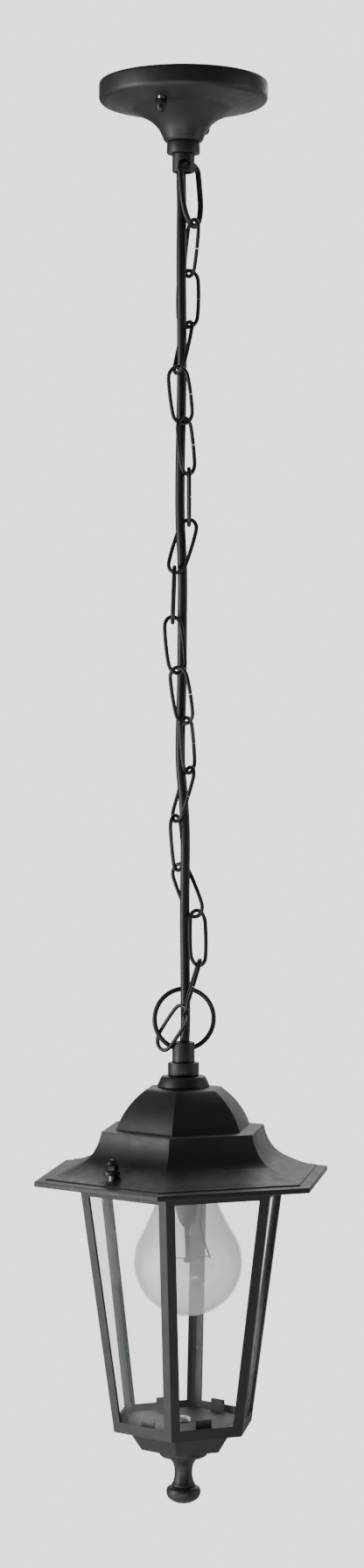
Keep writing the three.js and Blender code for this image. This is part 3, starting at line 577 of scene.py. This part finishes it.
def offset(profile, distance):
    """The open profile moved sideways to its left as it runs."""
    points = [Vector(p) for p in profile]
    normals = []
    for p, q in zip(points, points[1:]):
        step = (q - p).normalized()
        normals.append(Vector((-step.y, step.x)))
    out = []
    for i, point in enumerate(points):
        before = normals[max(i - 1, 0)]
        after = normals[min(i, len(normals) - 1)]
        moved = point + (before + after) * (distance / (1 + before.dot(after)))
        out.append((moved.x, moved.y))
    return out


def pairs(points):
    return [(p.x, p.y) for p in points]


def turned_piece(node, profile, height, segments=72, angle=SMOOTH_ANGLE):
    place = Matrix.Translation((0, 0, height * MM))
    verts, faces = turned(profile, segments, place)
    return new_piece(f"{node}_turned", node, verts, faces, angle)


def cut_round(piece, radius, centre, direction):
    """Cuts a round hole right through a piece."""
    run = direction.normalized() * HOLE_REACH * MM
    verts, faces = swept([centre - run, centre + run], radius * MM, 48)
    mesh = bpy.data.meshes.new("cutter")
    mesh.from_pydata([tuple(v) for v in verts], [], faces)
    cutter = add_to_scene("cutter", mesh)
    modifier = piece.modifiers.new("hole", "BOOLEAN")
    modifier.operation = "DIFFERENCE"
    modifier.solver = "EXACT"
    modifier.object = cutter
    result = applied(piece)
    bpy.data.objects.remove(cutter)
    smooth(result)


def canopy():
    wall = arc(CANOPY_RADIUS - CANOPY_EDGE, -CANOPY_WALL, CANOPY_EDGE, 0, -78, 10)
    crease = [(CREASE_RADIUS + 1.2, -CREASE_DEPTH + 0.3), (CREASE_RADIUS, -CREASE_DEPTH)]
    trumpet = catmull([
        (CREASE_RADIUS - 1.4, -CREASE_DEPTH - 1), (NECK_RADIUS + 8.6, -CANOPY_DEPTH + 12.4),
        (NECK_RADIUS + 3.9, -CANOPY_DEPTH + 8), (NECK_RADIUS + 1.4, -CANOPY_DEPTH + 3.4),
        (NECK_RADIUS + 0.6, -CANOPY_DEPTH + CANOPY_SKIN + 0.2),
    ], 8)
    outside = [(CANOPY_RADIUS - 0.9, 0), (CANOPY_RADIUS - 0.3, -0.5), (CANOPY_RADIUS, -1.6)]
    outside += wall + crease + pairs(trumpet)
    inside = offset(outside, -CANOPY_SKIN)
    inside[0] = (inside[0][0], 0)
    neck = [
        (NECK_RADIUS, -CANOPY_DEPTH + 0.5), (NECK_RADIUS - 0.6, -CANOPY_DEPTH),
        (TUBE_HOLE, -CANOPY_DEPTH), (TUBE_HOLE, -CANOPY_DEPTH + CANOPY_SKIN + 0.2),
    ]
    turned_piece("canopy", outside + neck + inside[::-1], 0, 128, 40)


def collar(node, outside, height, edge):
    profile = [(TUBE_HOLE, 0), *outside, (TUBE_HOLE, -height)]
    turned_piece(node, eased(profile, edge), top_of(node))


def collars():
    collar("neck_collar", [(NECK_COLLAR_RADIUS, 0), (NECK_COLLAR_RADIUS, -NECK_COLLAR_HEIGHT)],
           NECK_COLLAR_HEIGHT, 0.9)
    collar("stem_collar", [(STEM_COLLAR_RADIUS, 0), (STEM_COLLAR_RADIUS, -STEM_COLLAR_HEIGHT)],
           STEM_COLLAR_HEIGHT, 0.7)
    collar("roof_cap", ROOF_CAP_FLARE, ROOF_CAP_HEIGHT, 0.9)


def stem(node, shoulder, tube_end, flip, hole_height, hole_radius, hole_offset, hole_turn):
    """A hollow stem with a threaded tube, and the cross hole that its wire passes through."""
    tube = abs(tube_end - shoulder)
    length = top_of(node) - foot_of(node) - tube
    thread = []
    for i in range(int((tube - 1) / THREAD_PITCH)):
        crest = tube - 0.6 - i * THREAD_PITCH
        thread += [(TUBE_RADIUS, crest), (TUBE_RADIUS - THREAD_DEPTH, crest - THREAD_PITCH / 2)]
    body = [
        (TUBE_BORE, tube), (TUBE_RADIUS - 0.4, tube), *thread, (TUBE_RADIUS, 0), (STEM_RADIUS, 0),
        (STEM_RADIUS, -length + 0.6), (STEM_RADIUS - 0.2, -length + 0.2),
        (STEM_RADIUS - 0.6, -length), (STEM_BORE + 0.3, -length), (STEM_BORE, -length + 0.3),
        (STEM_BORE, -STEM_SHOULDER), (TUBE_BORE, -STEM_SHOULDER),
    ]
    if flip:
        body = [(r, -z) for r, z in body]
    piece = turned_piece(node, body, shoulder, 64)
    turn = Matrix.Rotation(HANG_TURN + math.radians(hole_turn), 3, "Z")
    centre = turn @ Vector((0, hole_offset * MM, 0)) + Vector((0, 0, hole_height * MM))
    cut_round(piece, hole_radius, centre, turn @ Vector((1, 0, 0)))


def stems():
    stem("loop_stem", foot_of("neck_collar") - GAP, top_of("loop_stem"), flip=False,
         hole_height=foot_of("loop_stem") + 3.85, hole_radius=2.5, hole_offset=-3.5,
         hole_turn=52.4)
    stem("lantern_stem", top_of("stem_collar") + GAP, foot_of("lantern_stem"), flip=True,
         hole_height=top_of("lantern_stem") - 3.5, hole_radius=2.47, hole_offset=3.2,
         hole_turn=12)


def cap_nut(node, up, turn):
    """A domed cap nut: chamfered hexagon and a dome with a small flat crest."""
    low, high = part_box(node)
    centre = (low + high) / 2
    verts = []
    for corner, height in NUT_RINGS:
        for k in range(6):
            angle = math.radians(60 * k) + turn
            verts.append(Vector((corner * math.cos(angle), corner * math.sin(angle), height)))
    faces = outward(verts, wire_faces(len(NUT_RINGS), 6))
    wall, crown = (3.4, 2.5) if up else (4.1, 3.3)
    dome = [(0, NUT_DOME_FOOT), (NUT_DOME_RADIUS, NUT_DOME_FOOT), (NUT_DOME_RADIUS, wall)]
    for degrees in range(15, 90, 15):
        rise = math.radians(degrees)
        dome.append((NUT_DOME_RADIUS * math.cos(rise), wall + crown * math.sin(rise)))
    dome.append((0, wall + crown))
    dome_verts, dome_faces = turned(dome, 40)
    flip = Matrix.Identity(4) if up else Matrix.Rotation(math.pi, 4, "X")
    foot = Vector((centre.x, centre.y, low.z if up else high.z))
    place = Matrix.Translation(foot) @ flip
    count = len(verts)
    verts = [place @ (v * MM) for v in verts] + [place @ v for v in dome_verts]
    faces += [[i + count for i in face] for face in dome_faces]
    new_piece(f"{node}_turned", node, verts, faces, 30)


def spacer(node):
    low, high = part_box(node)
    centre = (low + high) / 2
    profile = eased([(SPACER_BORE, 0), (SPACER_RADIUS, 0), (SPACER_RADIUS, SPACER_HEIGHT),
                     (SPACER_BORE, SPACER_HEIGHT)], 0.6)
    place = Matrix.Translation((centre.x, centre.y, low.z))
    verts, faces = turned(profile, 48, place)
    new_piece(f"{node}_turned", node, verts, faces)


# ------------------------------------------------------------------ roof and base

ROOF_TOP = 17.1
ROOF_SKIN = 1.4
ROOF_DOME = [(22.1, -0.7), (35, -9.4), (39.6, -22.3)]       # start, pull and end of a curve
ROOF_SKIRT = [(48, -22.8), (50, -29.2), (54.5, -36), (61.1, -40.6), (72, -45.2), (80, -46.8)]
EAVES_LIP = [(80.4, -47.5), (86.4, -48), (86.7, -48.4), (86.7, -50.5), (86.4, -50.8),
             (84.9, -50.8), (84.5, -49.3)]
FINIAL_BORE = 2.3
FINIAL_BORE_DEPTH = 13
FINIAL_DISC = [(12.9, 0), (13.3, -0.4), (13.3, -3.4), (13, -4.1), (12.3, -4.7), (7.9, -5.5),
               (7.7, -5.7)]
FINIAL_NECK = [(7.7, -6.1), (5.6, -9.4), (4.85, -14.4), (5.6, -18.9)]
FINIAL_BEAD = [(6.3, -20), (6.6, -20.4), (6.6, -20.8)]
FINIAL_BALL = -24.7                 # height of the ball's middle


def hexed(node, profile, height):
    """A profile carried round six flats, corner along -Y, with rounded corners."""
    place = Matrix.Translation((0, 0, height * MM)) @ Matrix.Rotation(math.radians(-90), 4, "Z")
    verts, faces = turned(profile, 6, place)
    piece = new_piece(f"{node}_finished", node, verts, faces, EDGE_ANGLE)
    smooth(round_edges(piece, 0.45, 3), EDGE_ANGLE)


def hex_offset(profile, distance):
    """A profile of corners, moved so that the flats between them move by the distance."""
    flats = [(r * TRUE_CORNER, z) for r, z in profile]
    return [(r / TRUE_CORNER, z) for r, z in offset(flats, distance)]


def roof():
    start, pull, end = (Vector(p) for p in ROOF_DOME)
    dome = []
    for i in range(19):
        t = i / 18
        dome.append(start * (1 - t) ** 2 + pull * 2 * t * (1 - t) + end * t * t)
    outside = pairs(dome) + pairs(catmull(ROOF_SKIRT, 6))
    inside = hex_offset(outside, -ROOF_SKIN)[::-1]
    hole = TUBE_HOLE / TRUE_CORNER
    profile = [(hole, 0), (ROOF_TOP, 0), *outside, *EAVES_LIP, *inside,
               (ROOF_TOP - 0.6, -ROOF_SKIN), (hole, -ROOF_SKIN)]
    hexed("roof", profile, top_of("roof"))


def finial():
    low = foot_of("finial") - top_of("finial")
    ball = catmull([
        (6.4, -21.3), (8.8, FINIAL_BALL + 2.4), (9.5, FINIAL_BALL), (8.3, FINIAL_BALL - 3.2),
        (4.6, low + 0.9), (0, low)], 6)
    bore = [(0, -FINIAL_BORE_DEPTH), (FINIAL_BORE, -FINIAL_BORE_DEPTH), (FINIAL_BORE, 0)]
    neck = pairs(catmull(FINIAL_NECK, 6))
    turned_piece("finial", bore + FINIAL_DISC + neck + FINIAL_BEAD + pairs(ball),
                 top_of("finial"), 80, 40)


# ------------------------------------------------------------------ lamp

LAMP_LEAN = math.radians(1.6)
HOLDER_LENGTH = 41
SOCKET_DEPTH = 30
CAP_RADIUS = 13.2
CAP_LENGTH = 27
BULB_RADIUS = 30
BULB_LENGTH = 107
BULB_NECK = 11.4
BULB_SKIN = 0.9
BULB_MIDDLE = BULB_RADIUS - BULB_LENGTH     # height of the round part's middle
MOUNT_FOOT = BULB_MIDDLE + 36
CAP_THREAD_STEP = 0.475
LEAD_WIRE_RADIUS = 0.4


def lamp_place(below):
    """The lamp's leaning axes, with their zero that far down from the holder's top."""
    pivot = foot_of("roof_lock_nut") - 2 * GAP
    lean = Matrix.Rotation(HANG_TURN, 4, "Z") @ Matrix.Rotation(-LAMP_LEAN, 4, "Y")
    return (Matrix.Translation((0, 0, pivot * MM)) @ lean
            @ Matrix.Translation((0, 0, -below * MM)))


def lamp_piece(node, profile, below, segments=72, angle=SMOOTH_ANGLE):
    verts, faces = turned(profile, segments, lamp_place(below))
    return new_piece(f"{node}_turned", node, verts, faces, angle)


def lamp():
    shoulder = HOLDER_LENGTH - SOCKET_DEPTH
    floor_height = -shoulder - 1.5
    bulb_top = shoulder + 1.5 + GAP
    socket = CAP_RADIUS + 0.7
    holder_hole = TUBE_HOLE + 0.2
    lamp_piece("lamp_holder", eased([
        (holder_hole, 0), (11, 0), (13, -4), (19, -shoulder + 1), (19, -HOLDER_LENGTH),
        (socket, -HOLDER_LENGTH), (socket, floor_height), (TUBE_BORE, floor_height),
        (TUBE_BORE, -7.4), (holder_hole, -7.4)], 0.6), 0)
    thread_cuts = (0, 0.45, 0.9, 0.45)
    thread = [(CAP_RADIUS - thread_cuts[i % 4], -6.4 - i * CAP_THREAD_STEP) for i in range(37)]
    cap_bore = BULB_NECK + 0.6
    lamp_piece("bulb_cap", [
        (0, 0), (4.6, 0), (5, -1.6), (CAP_RADIUS - 2.4, -3), (CAP_RADIUS - 0.2, -5), *thread,
        (CAP_RADIUS, -CAP_LENGTH + 1.4), (CAP_RADIUS, -CAP_LENGTH), (cap_bore, -CAP_LENGTH),
        (cap_bore, -6), (BULB_NECK - 3, -4.4), (0, -4.4)], bulb_top)
    shape = catmull([
        (BULB_NECK, -CAP_LENGTH - 1), (BULB_NECK + 2.3, -CAP_LENGTH - 7),
        (BULB_NECK + 6.4, BULB_MIDDLE + 30.9), (BULB_NECK + 12.2, BULB_MIDDLE + 18.5),
        (BULB_RADIUS - 1.5, BULB_MIDDLE + 9), (BULB_RADIUS, BULB_MIDDLE)], 8)
    outside = [(BULB_NECK, -7.5)] + pairs(shape)
    outside += arc(0, BULB_MIDDLE, BULB_RADIUS, 0, -90, 24)[1:-1] + [(0, -BULB_LENGTH)]
    inside = [(max(r, 0), z) for r, z in offset(outside, -BULB_SKIN)[::-1][1:]]
    lamp_piece("bulb_glass", [(0, -BULB_LENGTH + BULB_SKIN)] + inside + outside, bulb_top, 96,
               FINE_ANGLE)
    mount = lamp_piece("bulb_mount", [
        (0, MOUNT_FOOT), (8, MOUNT_FOOT), (6.4, MOUNT_FOOT - 5), (5.2, MOUNT_FOOT - 10),
        (4.4, MOUNT_FOOT - 14), (2.4, MOUNT_FOOT - 17), (1.6, MOUNT_FOOT - 18),
        (1.4, BULB_MIDDLE + 2.4), (2.2, BULB_MIDDLE + 1.8), (2.4, BULB_MIDDLE + 1.2),
        (2.4, BULB_MIDDLE - 0.2), (1.6, BULB_MIDDLE - 0.9), (0, BULB_MIDDLE - 1.2)],
        bulb_top, 40, FINE_ANGLE)
    mount.data.materials[0] = MOUNT_GLASS
    place = lamp_place(bulb_top)
    for side, node in ((-1, "lead_wire_left"), (1, "lead_wire_right")):
        route = catmull([
            (side * 9.2, 0, MOUNT_FOOT - 2), (side * 7.4, 0, MOUNT_FOOT - 15),
            (side * 9, 0, BULB_MIDDLE + 12), (side * 12.2, 0, BULB_MIDDLE + 1.4)], 10)
        verts, faces = swept([place @ (p * MM) for p in route], LEAD_WIRE_RADIUS * MM, 10)
        new_piece(f"{node}_fine", node, verts, faces, FINE_ANGLE)


canopy()
collars()
stems()
for side in ("front", "rear"):
    cap_nut(f"canopy_cap_nut_{side}", up=False, turn=HANG_TURN + math.radians(247.9))
    cap_nut(f"roof_cap_nut_{side}", up=True, turn=math.radians(240))
    spacer(f"roof_spacer_{side}")
roof()
finial()
lamp()

for name in ("cage", "base_cover", "base_plate"):
    bevelled(name, width=0.35)
for name in ("mounting_strap", "terminal_block"):
    bevelled(name, width=0.2)


# ------------------------------------------------------------------ CAD nodes that stay

for name, node in frame["nodes"].items():
    if node.hide_render:
        continue
    node.data.materials.clear()
    node.data.materials.append(SLOTS[SLOT_OF[name]])
    smooth(node.data, 30)


# ------------------------------------------------------------------ stage and light

FLOOR_HEIGHT = -1.35
FLOOR_RADIUS = 1.6
BACKDROP = 2.1                      # brightness of the backdrop to the camera
AMBIENT = 0.12                      # and to everything else


def floor():
    mesh = bpy.data.meshes.new("floor")
    count = 96
    turns = [2 * math.pi * i / count for i in range(count)]
    verts = [(FLOOR_RADIUS * math.cos(t), FLOOR_RADIUS * math.sin(t), FLOOR_HEIGHT) for t in turns]
    mesh.from_pydata(verts, [], [list(range(count))])
    material, _, shader = new_material("floor_paint")
    shader.inputs["Base Color"].default_value = grey(0.86)
    shader.inputs["Roughness"].default_value = 0.9
    mesh.materials.append(material)
    add_to_scene("floor", mesh)


def soft_light(name, direction, distance, width, height, power, target=(0, 0, -0.45)):
    """A soft panel that faces its target. The direction is rightwards, away from the camera
    and up."""
    data = bpy.data.lights.new(name, "AREA")
    data.shape = "RECTANGLE"
    data.size = width
    data.size_y = height
    data.energy = power
    light = add_to_scene(name, data)
    along = direction[0] * right + direction[1] * away + Vector((0, 0, direction[2]))
    along.normalize()
    light.location = Vector(target) + along * distance
    light.rotation_euler = along.to_track_quat("Z", "Y").to_euler()
    light.visible_camera = False


def surroundings():
    """A pale backdrop that lights the object only softly."""
    world = bpy.data.worlds.new("studio")
    bpy.context.scene.world = world
    world.use_nodes = True
    tree = world.node_tree
    sky = tree.nodes["Background"]
    sky.inputs["Color"].default_value = grey(1.0)
    path = tree.nodes.new("ShaderNodeLightPath")
    choose = tree.nodes.new("ShaderNodeMapRange")
    choose.inputs["To Min"].default_value = AMBIENT
    choose.inputs["To Max"].default_value = BACKDROP
    tree.links.new(path.outputs["Is Camera Ray"], choose.inputs["Value"])
    tree.links.new(choose.outputs["Result"], sky.inputs["Strength"])


floor()
surroundings()
soft_light("left_light", (-1, -0.28, 0.0), distance=1.7, width=0.9, height=1.6, power=36,
           target=(0, 0, -0.5))
soft_light("back_light", (0.35, 1, 0.1), distance=1.9, width=2.2, height=1.8, power=8)
soft_light("back_top_light", (0.15, 1, 0.8), distance=1.8, width=1.6, height=1.2, power=16)
soft_light("right_light", (1, 0.0, 0.0), distance=1.7, width=0.6, height=1.6, power=8)
# Most of this panel stands under the floor, which hides that part of it from the lantern.
soft_light("low_light", (-0.1, -0.45, -1), distance=1.5, width=1.6, height=1.6, power=62,
           target=(0, 0, -0.2))
